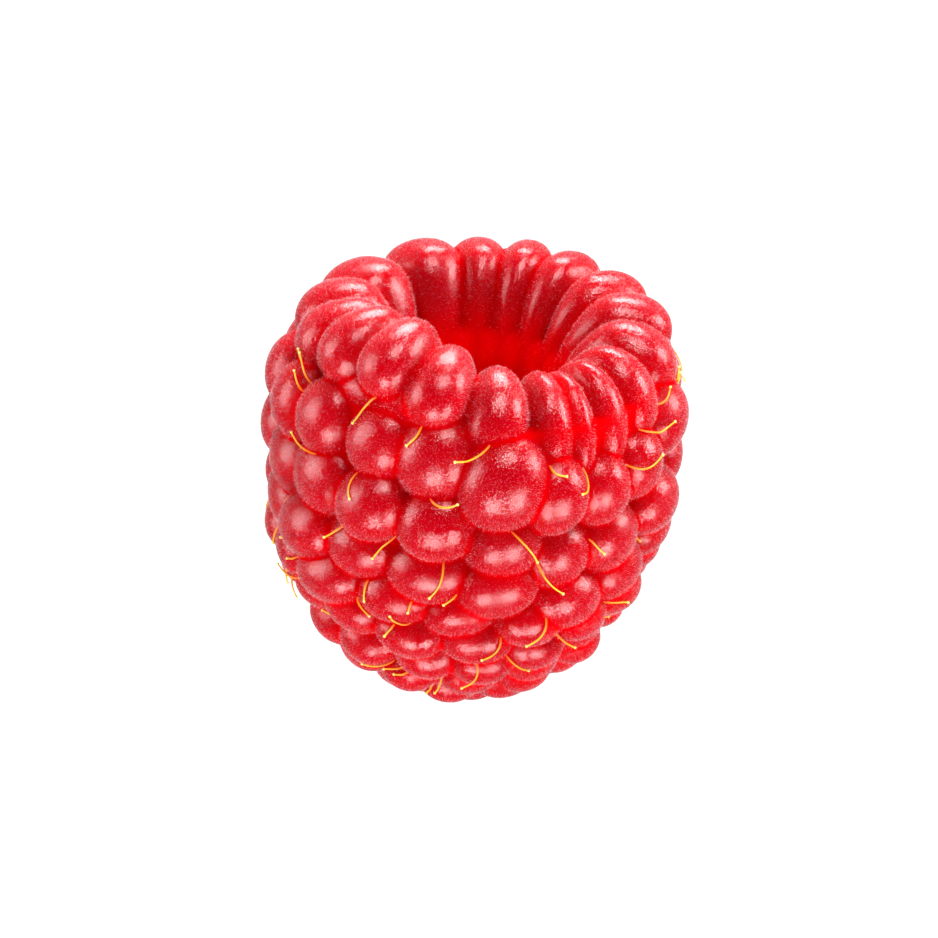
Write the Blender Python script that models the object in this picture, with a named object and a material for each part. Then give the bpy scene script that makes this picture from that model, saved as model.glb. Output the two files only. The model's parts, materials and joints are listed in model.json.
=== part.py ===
"""Raspberry as picked: a thimble of drupelets round an open hollow, standing on its blunt tip.

Lengths here are in millimetres and angles in degrees, and the finished mesh is scaled to metres.
Azimuth 0 faces -Y and grows towards +X. The origin is on the resting plane, under the middle
of the berry's box.
"""

import math
import random

import bmesh
import bpy
from mathutils import Matrix, Vector

MM = 0.001

# The thimble
BELLY_RADIUS = 10.05
BELLY_HEIGHT = 12.4
CREST_HEIGHT = 20.0
TIP_BELOW = 0.4
SHOULDER_DRAW = 0.8
CORE_INSET = 1.7
RIM_TILT = 3.0
RIM_DRIFT = 1.3
RESTING_DEPTH = 0.12
FACE_SHARE = 0.64
WELD = 0.0005

# The hollow that the fruit's core left behind
MOUTH_RADIUS = 3.7
HOLLOW_FLOOR = 7.0
HOLLOW_TOP = 15.6
LIP_HEIGHT = 17.6

# The drupelets' inner ends line the hollow: height of each row, its turn as a share of a step
INNER_ROWS = ((15.3, 0.5), (13.3, 0.0), (11.3, 0.5))
INNER_RADIUS = 4.3
INNER_HALF = (1.0, 1.25)

# The drupelets' own shape
DRUPELET_DEPTH = 1.9
SIDE_OVERLAP = 1.14
TALL_OVERLAP = 1.04
FULLNESS = 2.1
UPTURN = 0.6
UNEVEN = 0.3
SETTLED = 5.0
WEDGE = 0.5
ROLL = 14.0
SEED = 7

# One-sided growth: every row stands up at one azimuth and sags, squeezed narrow, at another
LIFT_AZIMUTH = -46.0
LIFT_SPREAD = 32.0
SAG_AZIMUTH = 40.0
SAG_SPREAD = 35.0

# Where drupelets crowd (positive) or swell (negative): azimuth, spread, strength
CROWDING = ((36.0, 48.0, 0.38), (36.0, 110.0, 0.12), (236.0, 45.0, -0.35))

# The one drupelet at the very tip stays clear of the resting plane
TIP_RECESS = 0.25
TIP_HALF = 1.9

# The rim's drupelets fold over from the shoulder into the hollow
RIM_COUNT = 18
RIM_FIRST = -27.0
RIM_LIFT = 1.4
RIM_SAG = 0.8
RIM_RADIUS = 6.35
RIM_REACH = 2.75
RIM_RISE = 1.85
RIM_SQUEEZED_RISE = 0.5
RIM_OVERLAP = 1.22
DROOP_IN = 1.8
DROOP_BACK = 1.4
BACK_AZIMUTH = 215.0
BACK_SPREAD = 60.0
DROOP_SAG = 1.0

# Each row under it: height, count, first azimuth, lift, sag, crowding, half height
ROWS = (
    (16.0, 18, -18.5, 0.3, 1.9, 0.5, 1.90),
    (12.8, 17, -14.0, 0.5, 2.2, 0.2, 1.80),
    (10.0, 16, -14.0, 0.4, 1.8, 0.0, 1.65),
    (8.0, 16, -5.0, 0.4, 1.5, 0.2, 1.45),
    (6.2, 16, 4.0, 0.3, 1.4, 0.0, 1.40),
    (4.4, 15, -17.0, 0.1, 1.1, 0.0, 1.40),
    (2.7, 12, 4.0, 0.0, 0.6, 0.0, 1.45),
    (1.2, 9, -10.0, 0.0, 0.2, 0.0, 1.45),
)

# The lowest ring stands on the resting plane, so its drupelets are all alike
FOOT_HEIGHT = 0.12
FOOT_COUNT = 6
FOOT_FIRST = 10.0
FOOT_HALF = 1.6

# The drupelets swell most at one place on the belly: azimuth, spread, height, spread, growth
SWELL = (7.0, 18.0, 15.0, 2.4, 0.2)


def bump(azimuth, centre, spread):
    away = (azimuth - centre + 180.0) % 360.0 - 180.0
    return math.exp(-((away / spread) ** 2))


def crowded(azimuth, share):
    """Draws an azimuth towards where the drupelets crowd and away from where they swell."""
    drawn = azimuth
    for centre, spread, strength in CROWDING:
        away = (azimuth - centre + 180.0) % 360.0 - 180.0
        drawn -= share * strength * away * math.exp(-((away / spread) ** 2))
    return drawn


def swelling(azimuth, height):
    centre, spread, level, reach, growth = SWELL
    return 1.0 + growth * bump(azimuth, centre, spread) * math.exp(-(((height - level) / reach) ** 2))


def outline(height):
    """(radius, outward normal's radial part, its upward part) of the crowns' envelope at a height."""
    if height >= BELLY_HEIGHT:
        up = (height - BELLY_HEIGHT) / (CREST_HEIGHT - BELLY_HEIGHT)
        slope = 2.0 * SHOULDER_DRAW * up / (CREST_HEIGHT - BELLY_HEIGHT)
        normal = Vector((1.0, slope)).normalized()
        return BELLY_RADIUS - SHOULDER_DRAW * up * up, normal.x, normal.y
    half_tall = BELLY_HEIGHT + TIP_BELOW
    down = (BELLY_HEIGHT - height) / half_tall
    across = math.sqrt(1.0 - down * down)
    normal = Vector((across / BELLY_RADIUS, -down / half_tall)).normalized()
    return BELLY_RADIUS * across, normal.x, normal.y


def full_length(spot):
    """The length that is 1 all over a drupelet: a sphere's, but fuller at the corners."""
    return sum(abs(part) ** FULLNESS for part in spot) ** (1.0 / FULLNESS)


class Drupelet:
    """An ellipsoid in its own meridian plane, narrowed towards the axis as a slice of an orange is."""

    def __init__(self, azimuth, radius, height, normal, half, crown, wedge=WEDGE, roll=0.0, droop=(0, 0)):
        self.azimuth = azimuth
        self.radius = radius
        self.height = height
        self.normal = normal
        self.half = half
        self.crown = crown
        self.wedge = wedge
        self.roll = math.radians(roll)
        self.droop = droop

    def place(self, unit):
        """The point of space for a point of the unit sphere."""
        out, aside, above = unit / full_length(unit)
        deep, wide, tall = self.half
        side = wide * aside * math.cos(self.roll) - tall * above * math.sin(self.roll)
        up = wide * aside * math.sin(self.roll) + tall * above * math.cos(self.roll)
        radial, rise = self.normal
        rho = self.radius + deep * out * radial - up * rise
        sag = self.droop[0] if out < 0.0 else self.droop[1]
        z = self.height + deep * out * rise + up * radial - sag * out * out
        across = side * (max(rho, 0.05) / self.crown) ** self.wedge
        angle = math.radians(self.azimuth)
        x = rho * math.sin(angle) + across * math.cos(angle)
        y = -rho * math.cos(angle) + across * math.sin(angle)
        return Vector((x, y, z))


def row_azimuths(count, first, crowding, rng):
    step = 360.0 / count
    return [crowded(first + step * k, crowding) + rng.uniform(-0.08, 0.08) * step for k in range(count)]


def gap_at(azimuths, index):
    """Half the way from one neighbour to the other, in degrees."""
    after = azimuths[(index + 1) % len(azimuths)]
    return ((after - azimuths[index - 1]) % 360.0) / 2.0


def rim_drupelets(azimuths, rng):
    for index, azimuth in enumerate(azimuths):
        lift = RIM_LIFT * bump(azimuth, LIFT_AZIMUTH, LIFT_SPREAD)
        squeezed = bump(azimuth, SAG_AZIMUTH, SAG_SPREAD)
        rise = RIM_RISE * rng.uniform(0.96, 1.04) + RIM_SQUEEZED_RISE * squeezed
        wide = RIM_OVERLAP * math.radians(gap_at(azimuths, index)) / 2.0 * RIM_RADIUS
        top = CREST_HEIGHT + lift - RIM_SAG * squeezed + rng.uniform(-0.15, 0.15)
        half = (RIM_REACH, wide, rise)
        fold = DROOP_IN + DROOP_BACK * bump(azimuth, BACK_AZIMUTH, BACK_SPREAD)
        yield Drupelet(azimuth, RIM_RADIUS, top - rise, (1.0, 0.0), half, RIM_RADIUS, 1.0,
                       droop=(fold, DROOP_SAG * squeezed))


def inner_drupelets(azimuths):
    """The drupelets' inner ends, which line the hollow in rows, each set between those above."""
    deep, tall = INNER_HALF
    for height, shift in INNER_ROWS:
        for index, azimuth in enumerate(azimuths):
            apart = gap_at(azimuths, index)
            wide = RIM_OVERLAP * math.radians(apart) / 2.0 * INNER_RADIUS
            yield Drupelet(azimuth + shift * apart, INNER_RADIUS, height, (1.0, 0.0), (deep, wide, tall),
                           INNER_RADIUS, 1.0)


def body_drupelets(rng):
    for height, count, first, lift, sag, crowding, tall in ROWS:
        azimuths = row_azimuths(count, first, crowding, rng)
        for index, azimuth in enumerate(azimuths):
            z = height + lift * bump(azimuth, LIFT_AZIMUTH, LIFT_SPREAD)
            z += rng.uniform(-0.2, 0.2) - sag * bump(azimuth, SAG_AZIMUTH, SAG_SPREAD)
            crown, radial, rise = outline(z)
            free = min(1.0, z / SETTLED)
            normal = Vector((radial, rise * (1.0 - (1.0 - UPTURN) * free))).normalized()
            swollen = swelling(azimuth, z)
            size = rng.uniform(0.94, 1.06) * swollen
            deep = DRUPELET_DEPTH * size
            wide = SIDE_OVERLAP * math.sin(math.radians(gap_at(azimuths, index) / 2.0)) * crown * size
            half = (deep, wide, TALL_OVERLAP * tall * size)
            sunk = deep / swollen + UNEVEN * free * rng.uniform(-1.0, 1.0)
            yield Drupelet(azimuth, crown - sunk * normal.x, z - sunk * normal.y, (normal.x, normal.y),
                           half, crown, roll=rng.uniform(-ROLL, ROLL))


def foot_drupelets():
    crown, radial, rise = outline(FOOT_HEIGHT)
    wide = SIDE_OVERLAP * math.sin(math.pi / FOOT_COUNT) * crown
    for index in range(FOOT_COUNT):
        azimuth = FOOT_FIRST + 360.0 / FOOT_COUNT * index
        yield Drupelet(azimuth, crown - DRUPELET_DEPTH * radial, FOOT_HEIGHT - DRUPELET_DEPTH * rise,
                       (radial, rise), (DRUPELET_DEPTH, wide, FOOT_HALF), crown)


def tip_drupelet():
    half = (DRUPELET_DEPTH, TIP_HALF, TIP_HALF)
    return Drupelet(0.0, 0.0, TIP_RECESS + DRUPELET_DEPTH, (0.0, -1.0), half, 1.0, 0.0)


def new_object(name, mesh, collection):
    obj = bpy.data.objects.new(name, mesh)
    collection.objects.link(obj)
    return obj


def unit_ball(shape, arched):
    """A sphere of few sides; for an arched drupelet its poles lie at the arch's two ends."""
    if not arched:
        bmesh.ops.create_icosphere(shape, subdivisions=2, radius=1.0)
        return
    turned = Matrix.Rotation(math.pi / 2.0, 4, "Y")
    bmesh.ops.create_uvsphere(shape, u_segments=8, v_segments=9, radius=1.0, matrix=turned)


def ball(name, drupelet, collection):
    mesh = bpy.data.meshes.new(name)
    shape = bmesh.new()
    unit_ball(shape, any(drupelet.droop))
    for vertex in shape.verts:
        vertex.co = drupelet.place(vertex.co)
    bmesh.ops.recalc_face_normals(shape, faces=shape.faces)
    shape.to_mesh(mesh)
    shape.free()
    return new_object(name, mesh, collection)


def core_profile():
    """(radius, height) from the hollow's floor, over the lip, down the outside to under the tip."""
    hollow = [(0.0, HOLLOW_FLOOR), (1.6, HOLLOW_FLOOR + 0.4), (2.6, HOLLOW_FLOOR + 1.8)]
    wall = [(3.1, HOLLOW_FLOOR + 4.0), (MOUTH_RADIUS, HOLLOW_TOP)]
    lip = [(RIM_RADIUS, LIP_HEIGHT), (8.2, LIP_HEIGHT - 1.0)]
    outside = []
    for height in (13.0, 9.0, 5.5, 3.0, 1.0):
        radius, radial, rise = outline(height)
        outside.append((radius - CORE_INSET * radial, height - CORE_INSET * rise))
    return hollow + wall + lip + outside + [(0.0, CORE_INSET)]


def spun(name, profile, sides, collection):
    mesh = bpy.data.meshes.new(name)
    shape = bmesh.new()
    line = [shape.verts.new((radius, 0.0, height)) for radius, height in profile]
    edges = [shape.edges.new(pair) for pair in zip(line, line[1:])]
    bmesh.ops.spin(shape, geom=line + edges, cent=(0, 0, 0), axis=(0, 0, 1),
                   angle=math.tau, steps=sides, use_merge=True)
    bmesh.ops.remove_doubles(shape, verts=shape.verts, dist=0.001)
    bmesh.ops.recalc_face_normals(shape, faces=shape.faces)
    shape.to_mesh(mesh)
    shape.free()
    return new_object(name, mesh, collection)


def keep_result(obj, modifier):
    graph = bpy.context.evaluated_depsgraph_get()
    result = bpy.data.meshes.new_from_object(obj.evaluated_get(graph))
    obj.modifiers.remove(modifier)
    obj.data = result


def apply_boolean(obj, operation, other=None, collection=None):
    modifier = obj.modifiers.new("join", "BOOLEAN")
    modifier.operation = operation
    if collection is None:
        modifier.object = other
    else:
        modifier.operand_type = "COLLECTION"
        modifier.collection = collection
    keep_result(obj, modifier)


def keep_outer_skin(mesh):
    """Fills the hollows that the union sealed: their walls are loose from the outer skin."""
    shape = bmesh.new()
    shape.from_mesh(mesh)
    bmesh.ops.triangulate(shape, faces=shape.faces)
    bmesh.ops.remove_doubles(shape, verts=shape.verts, dist=WELD)
    unseen = set(shape.faces)
    shells = []
    while unseen:
        front = [unseen.pop()]
        shell = list(front)
        while front:
            edges = front.pop().edges
            near = {face for edge in edges for face in edge.link_faces} & unseen
            unseen -= near
            front.extend(near)
            shell.extend(near)
        shells.append(shell)
    shells.sort(key=len)
    for shell in shells[:-1]:
        bmesh.ops.delete(shape, geom=shell, context="FACES")
    shape.to_mesh(mesh)
    shape.free()


def thinned(obj):
    """Merges the slivers that the union leaves where two drupelets meet."""
    modifier = obj.modifiers.new("fewer", "DECIMATE")
    modifier.ratio = FACE_SHARE
    keep_result(obj, modifier)


def stand(obj):
    """Centres the berry over the origin and flattens its lowest crowns on the resting plane."""
    columns = list(zip(*(vertex.co for vertex in obj.data.vertices)))
    middle_x, middle_y = ((min(column) + max(column)) / 2.0 for column in columns[:2])
    drop = min(columns[2]) + RESTING_DEPTH
    obj.data.transform(Matrix.Translation((-middle_x, -middle_y, -drop)))
    mesh = bpy.data.meshes.new("floor")
    shape = bmesh.new()
    place = Matrix.Translation((0.0, 0.0, -BELLY_RADIUS)) @ Matrix.Scale(2.0 * BELLY_RADIUS, 4)
    bmesh.ops.create_cube(shape, size=1.0, matrix=place)
    shape.to_mesh(mesh)
    shape.free()
    floor = new_object("floor", mesh, bpy.context.scene.collection)
    apply_boolean(obj, "DIFFERENCE", other=floor)
    bpy.data.objects.remove(floor)


def lean(mesh):
    """Drifts the rim towards +X and tips it down on that side, and leaves the foot as it is."""
    fall = math.tan(math.radians(RIM_TILT))
    for vertex in mesh.vertices:
        x, y, z = vertex.co
        up = z / CREST_HEIGHT
        vertex.co = (x + RIM_DRIFT * up * up, y, z - fall * x * up)


def skin():
    material = bpy.data.materials.new("raspberry_skin")
    material.use_nodes = True
    shader = material.node_tree.nodes["Principled BSDF"]
    shader.inputs["Base Color"].default_value = (0.62, 0.004, 0.012, 1.0)
    shader.inputs["Roughness"].default_value = 0.42
    shader.inputs["Metallic"].default_value = 0.0
    return material


def clear_scene():
    for obj in list(bpy.data.objects):
        bpy.data.objects.remove(obj)


def main():
    clear_scene()
    rng = random.Random(SEED)
    scene = bpy.context.scene.collection
    drupelets = bpy.data.collections.new("drupelets")
    scene.children.link(drupelets)
    azimuths = row_azimuths(RIM_COUNT, RIM_FIRST, 1.0, rng)
    for index, drupelet in enumerate(rim_drupelets(azimuths, rng)):
        ball(f"rim_{index:02d}", drupelet, drupelets)
    for index, drupelet in enumerate(inner_drupelets(azimuths)):
        ball(f"inner_{index:02d}", drupelet, drupelets)
    for index, drupelet in enumerate(body_drupelets(rng)):
        ball(f"drupelet_{index:03d}", drupelet, drupelets)
    for index, drupelet in enumerate(foot_drupelets()):
        ball(f"foot_{index}", drupelet, drupelets)
    ball("drupelet_tip", tip_drupelet(), drupelets)
    berry = spun("raspberry", core_profile(), 24, scene)
    apply_boolean(berry, "UNION", collection=drupelets)
    for obj in list(drupelets.objects):
        bpy.data.objects.remove(obj)
    bpy.data.collections.remove(drupelets)
    keep_outer_skin(berry.data)
    thinned(berry)
    lean(berry.data)
    stand(berry)
    berry.data.transform(Matrix.Scale(MM, 4))
    berry.data.materials.append(skin())
    berry.data.shade_smooth()


main()
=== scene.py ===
"""Looks of the raspberry: its smooth wet-red skin, fine hairs and dried styles, on white.

The skin repeats the part's own rule for its drupelets and follows it closely. Lengths are in
millimetres and angles in degrees, but the camera, the lights and the floor are in metres, as
Blender's own scene is. Azimuth 0 faces -Y and grows towards +X.
"""

import json
import math
import random

import bmesh
import bpy
import numpy as np
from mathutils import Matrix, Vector
from mathutils.bvhtree import BVHTree

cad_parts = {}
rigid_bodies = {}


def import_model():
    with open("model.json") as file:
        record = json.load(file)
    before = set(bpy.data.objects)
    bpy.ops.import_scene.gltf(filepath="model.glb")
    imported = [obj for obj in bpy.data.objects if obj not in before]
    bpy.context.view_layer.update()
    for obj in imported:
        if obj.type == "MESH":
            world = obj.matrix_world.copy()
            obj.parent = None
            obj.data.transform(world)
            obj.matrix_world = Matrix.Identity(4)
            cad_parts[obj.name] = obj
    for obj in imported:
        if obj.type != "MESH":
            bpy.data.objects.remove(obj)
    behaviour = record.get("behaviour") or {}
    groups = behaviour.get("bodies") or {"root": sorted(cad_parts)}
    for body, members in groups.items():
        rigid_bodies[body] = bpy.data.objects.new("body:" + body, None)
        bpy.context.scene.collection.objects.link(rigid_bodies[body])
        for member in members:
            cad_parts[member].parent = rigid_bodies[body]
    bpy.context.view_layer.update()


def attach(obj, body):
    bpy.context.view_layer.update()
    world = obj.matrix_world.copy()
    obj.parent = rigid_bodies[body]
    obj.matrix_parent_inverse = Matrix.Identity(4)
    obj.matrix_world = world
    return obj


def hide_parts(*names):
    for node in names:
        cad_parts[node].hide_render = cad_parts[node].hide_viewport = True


MM = 0.001

# The berry's outline
BELLY_RADIUS = 10.05
BELLY_HEIGHT = 12.4
CREST_HEIGHT = 20.0
TIP_BELOW = 0.4
SHOULDER_DRAW = 0.8
CORE_INSET = 1.25
RIM_TILT = 3.0
RIM_DRIFT = 1.3
RESTING_DEPTH = 0.12

# The hollow
MOUTH_RADIUS = 3.7
HOLLOW_FLOOR = 7.0
HOLLOW_BOWL = ((0.0, 0.0), (1.6, 0.4), (2.6, 1.8), (3.1, 4.0))
HOLLOW_TOP = 15.6
LIP_HEIGHT = 17.6
LIP_RADIUS = 8.5
LIP_FALL = 0.2
CORE_LEVELS = (13.0, 9.0, 5.5, 3.0, 1.0)

# The drupelets' inner ends: height and shift of each row, as a share of the gap between two
INNER_ROWS = ((15.3, 0.5), (13.3, 0.0), (11.3, 0.5))
INNER_RADIUS = 4.3
INNER_DEPTH = 1.0
INNER_TALL = 1.25

# The drupelets
DRUPELET_DEPTH = 1.9
SIDE_OVERLAP = 1.14
TALL_OVERLAP = 1.04
FULLNESS = 2.1
UPTURN = 0.6
UNEVEN = 0.3
SETTLED = 5.0
WEDGE = 0.5
ROLL = 14.0
SEED = 7
LIFT_AZIMUTH = -46.0
LIFT_SPREAD = 32.0
SAG_AZIMUTH = 40.0
SAG_SPREAD = 35.0
TIP_RECESS = 0.25
TIP_HALF = 1.9
FOOT_HEIGHT = 0.12
FOOT_COUNT = 6
FOOT_FIRST = 10.0
FOOT_HALF = 1.6
NEAR_AXIS = 0.05
LEVEL = (1.0, 0.0)
DOWN = (0.0, -1.0)
FULL_WEDGE = 1.0

# Where a row's drupelets crowd together: azimuth, spread, strength
CROWDING = ((36.0, 48.0, 0.38), (36.0, 110.0, 0.12), (236.0, 45.0, -0.35))

# How far the seeded draws go, either way or from one factor to another
SPACING_DRAW = 0.08
RIM_RISE_DRAW = (0.96, 1.04)
RIM_HEIGHT_DRAW = 0.15
BODY_HEIGHT_DRAW = 0.2
BODY_SIZE_DRAW = (0.94, 1.06)

# The rim
RIM_COUNT = 18
RIM_FIRST = -27.0
RIM_LIFT = 1.4
RIM_SAG = 0.8
RIM_RADIUS = 6.35
RIM_REACH = 2.75
RIM_RISE = 1.85
RIM_SQUEEZED_RISE = 0.5
RIM_OVERLAP = 1.22
DROOP_IN = 1.8
DROOP_BACK = 1.4
BACK_AZIMUTH = 215.0
BACK_SPREAD = 60.0
DROOP_SAG = 1.0

# Rows down the side: height, count, first azimuth, lift, sag, share of the crowding, half tall
ROWS = (
    (16.0, 18, -18.5, 0.3, 1.9, 0.5, 1.90),
    (12.8, 17, -14.0, 0.5, 2.2, 0.2, 1.80),
    (10.0, 16, -14.0, 0.4, 1.8, 0.0, 1.65),
    (8.0, 16, -5.0, 0.4, 1.5, 0.2, 1.45),
    (6.2, 16, 4.0, 0.3, 1.4, 0.0, 1.40),
    (4.4, 15, -17.0, 0.1, 1.1, 0.0, 1.40),
    (2.7, 12, 4.0, 0.0, 0.6, 0.0, 1.45),
    (1.2, 9, -10.0, 0.0, 0.2, 0.0, 1.45),
)

# The largest drupelets: azimuth, spread, height, reach, growth
SWELL = (7.0, 18.0, 15.0, 2.4, 0.2)

# The small drupelet under the overhanging rim
TUCKED_AZIMUTH = -35.0
TUCKED_RADIUS = 7.2
TUCKED_HEIGHT = 18.0
TUCKED_HALF = (1.4, 2.8, 1.1)

# The fine skin
VOXEL = 0.17
BLEND = 0.09
BLEND_LIMIT = 40.0
NEARBY = 0.6
FAR = 9.0
ON_SURFACE = 1e-3
TINY = 1e-6
SETTLING_STEPS = 5
LONGEST_STEP = 0.12
BALL_SUBDIVISIONS = 4
CORE_SIDES = 64
CORE_SEAM = 0.001
SURVEY_POINTS = 200
SURVEY_SEED = 1

# Fades of the skin's colour, each with its start and length, and the reach of a crease's colour;
# they place the painted fill light in the hollow and the painted glow in the creases
HOLLOW_DOWN = (18.2, 2.6)
HOLLOW_ACROSS = (6.0, 1.2)
HOLLOW_UP = (4.0, 1.5)
CREASE_REACH = 0.3
CREASE_UP = (0.8, 2.0)

# The skin's colours and finish. The crease colour is a painted glow, brighter red where the creases
# lie in shade. The hollow colour is painted fill light, brighter red in the shaded hollow. The specks
# are partly the bloom's own pale grains and partly painted glints
SKIN_CROWN = (0.34, 0.0003, 0.008, 1.0)
SKIN_CREASE_PAINTED_GLOW = (0.52, 0.0001, 0.002, 1.0)
SKIN_HOLLOW_PAINTED_FILL = (0.66, 0.0002, 0.002, 1.0)
SKIN_SPECK_AND_GLINT = (0.90, 0.40, 0.43, 1.0)
SKIN_FINISH = {
    "Roughness": 0.12,
    "Subsurface Weight": 0.9,
    "Subsurface Radius": (1.0, 0.04, 0.03),
    "Subsurface Scale": 3.0 * MM,
    "Sheen Roughness": 0.28,
    "Sheen Tint": (1.0, 0.78, 0.82, 1.0),
}

# The bloom's grains, and how one value follows another: the source's span, the values at its ends
GRAIN = 0.085
GRAIN_RISE = 0.007
OUTSIDE_BY_HOLLOW = ((0.0, 0.6), (1.0, 0.0))
GLOSS_BY_CREASE = ((0.25, 0.7), (0.5, 0.0))
RAISED_BY_GRAIN = ((0.15, 0.6), (1.0, 0.0))
# The pale specks are partly the bloom's own grains and partly painted glints
SPECK_AND_GLINT_BY_GRAIN = ((0.08, 0.28), (0.9, 0.0))
SHEEN_BY_RAISED = ((0.0, 1.0), (0.0, 0.5))
SPARKLE_BY_RAISED = ((0.0, 1.0), (0.5, 1.9))

# Hairs
HAIR_PIECES = 4
HAIRS_A_PIECE = 36000
HAIR_LENGTH = 0.09
HAIR_LENGTHS = (0.5, 1.3)
HAIR_HALF = 0.005
HAIR_SIDES = 3
HAIR_FACES = ((0, 1, 3), (1, 2, 3), (2, 0, 3), (2, 1, 0))
HAIR_TILT = 0.2
HAIR_SUNK = 0.02
HAIR_THIN_REACH = 0.35
HAIR_THINNEST = 0.03
HAIR_HOLLOW_LOSS = 0.85
HAIR_FINISH = {
    "Base Color": (0.90, 0.50, 0.53, 1.0),
    "Roughness": 0.5,
    "Transmission Weight": 0.3,
}

# Dried styles in front, listed one by one: azimuth and height of the root, first heading (0 is to
# the right, 90 up), length, turn
STYLES = (
    (-75, 18.8, 95, 0.6, 10), (-65, 17.8, 125, 1.8, 20), (-66, 17.0, 130, 1.1, 15),
    (-36, 18.4, -128, 2.0, 15), (-52, 14.4, 185, 1.8, -45), (-20, 17.8, -95, 1.2, -45),
    (1, 17.4, -135, 2.0, -50), (-36, 14.5, -100, 1.6, 55), (-13, 14.4, -40, 1.6, 80),
    (20, 16.0, -90, 1.1, 80), (30, 15.4, -75, 2.0, -130), (48, 15.1, -45, 2.3, 85),
    (55, 16.6, -35, 2.6, 55), (68, 16.8, -10, 1.2, 70), (9, 13.2, -35, 2.2, -30),
    (18, 11.3, -80, 2.4, 45), (38, 11.7, -55, 1.1, 15), (60, 10.2, -50, 0.9, 10),
    (-41, 11.8, -130, 1.4, -15), (-24, 11.6, -105, 2.0, -25), (-7, 11.1, -80, 2.1, -55),
    (-32, 9.1, -95, 1.1, 15), (-35, 8.0, -50, 1.1, 10), (-17, 7.7, -175, 1.3, -90),
    (-18, 8.4, -110, 0.6, 0), (-4, 9.4, -140, 0.8, 0), (-23, 6.8, -125, 0.8, 10),
    (-68, 10.9, -95, 1.5, 10), (-66, 9.8, -150, 0.9, 0), (-74, 8.0, -100, 1.4, -10),
    (-58, 8.8, -165, 1.5, 10), (-70, 7.6, -70, 1.1, 15), (-64, 7.3, 175, 1.6, -10),
    (-46, 6.2, 168, 1.7, 10), (-30, 3.9, 178, 1.7, -10), (-26, 4.1, 170, 1.1, 40),
    (-24, 3.7, -150, 0.8, -20), (-15, 2.2, -115, 1.0, 0), (-10, 3.3, -100, 1.6, -15),
    (5, 4.8, -75, 1.9, -75), (14, 7.2, -88, 1.6, -80), (16, 5.1, -45, 1.6, 15),
    (26, 8.3, -90, 1.8, -80), (30, 6.4, -50, 1.8, 10), (46, 7.4, -8, 1.6, -15),
    (49, 6.2, -25, 0.7, 0),
)

# Dried styles elsewhere, drawn at random
MORE_STYLES = 56
MORE_FROM = 82.0
MORE_SPAN = 196.0
MORE_SHIFT = 0.4
STYLE_HEIGHTS = (2.5, 17.0)
STYLE_HEADINGS = (-170.0, 10.0)
STYLE_LENGTHS = (0.7, 2.3)
STYLE_TURNS = (-90.0, 90.0)

# Every style
ROOT_CREASE = 0.1
ROOT_INSET = 0.6
ROOT_SUNK = 0.12
STYLE_STEPS = 16
STYLE_SIDES = 6
STYLE_HALF = (0.055, 0.038)
STYLE_CLEAR = 0.06
STYLE_RISE = 0.45
STYLE_START = 1.3
SMOOTHINGS = 3

# A direction that no style starts along
OFF_EVERY_STYLE = (0.3, 0.5, 0.8)

# The knob at a style's end: distance past the end and half width
KNOB = ((0.03, 0.055), (0.07, 0.075), (0.11, 0.06), (0.13, 0.0))

# Styles' colours along their length, which is 1, and at the knob
KNOB_SHARE = 1.3
STYLE_ROOT = (0.70, 0.10, 0.002, 1.0)
STYLE_MIDDLE = (0.86, 0.28, 0.003, 1.0)
STYLE_PALE = (0.90, 0.48, 0.02, 1.0)
STYLE_TIP = (0.85, 0.72, 0.22, 1.0)
STYLE_MIDDLE_AT = 0.3
STYLE_PALE_AT = 0.75
STYLE_FINISH = {"Roughness": 0.4}

# The camera, in metres; its lens and sensor are in millimetres
CAMERA_TARGET = (-0.0002, 0.0, 0.01124)
CAMERA_DISTANCE = 0.25
CAMERA_ELEVATION = 28.0
CAMERA_CLIP = 0.01
CAMERA_LENS = 202.0
SENSOR_WIDTH = 36.0

# Soft boxes, in metres: name, azimuth, elevation, size, radiance
MIDDLE_HEIGHT = 0.011
LIGHT_DISTANCE = 0.25
LIGHTS = (
    ("light_right", 96.0, 22.0, (0.11, 0.12), 15.0),
    ("light_left", -84.0, 14.0, (0.16, 0.20), 7.0),
    ("light_back", 166.0, 52.0, (0.16, 0.10), 20.0),
    ("light_overhead", 28.0, 68.0, (0.13, 0.09), 17.0),
    ("light_low_left", -15.0, -34.0, (0.115, 0.125), 15.0),
    ("light_low_right", 34.0, -28.0, (0.115, 0.125), 15.0),
)

# The room's light, by the Y and Z of the direction that it comes from: span, values at its ends
ROOM_DIM = 0.05
LIGHT_BY_DEPTH = ((-0.3, 0.6), (ROOM_DIM, 0.5))
LIGHT_BY_HEIGHT = ((-0.35, 0.0), (0.15, ROOM_DIM))
WHITE = 1.3
EXPOSURE = -0.2

# The floor, in metres
FLOOR_HALF = 1.0
FLOOR_DROP = 0.0001


def turn_from(centre, azimuth):
    """The turn from one azimuth to another, from -180 to 180."""
    return (azimuth - centre + 180.0) % 360.0 - 180.0


def bump(azimuth, centre, spread):
    """1 at the centre, falling to nothing on both sides of it."""
    return math.exp(-((turn_from(centre, azimuth) / spread) ** 2))


def crowded(azimuth, share):
    """An azimuth drawn towards the places where the drupelets crowd together."""
    drawn = azimuth
    for centre, spread, strength in CROWDING:
        drawn -= share * strength * turn_from(centre, azimuth) * bump(azimuth, centre, spread)
    return drawn


def swelling(azimuth, height):
    """How many times larger the drupelets are here."""
    centre, spread, level, reach, growth = SWELL
    return 1.0 + growth * bump(azimuth, centre, spread) * math.exp(-(((height - level) / reach) ** 2))


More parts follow.
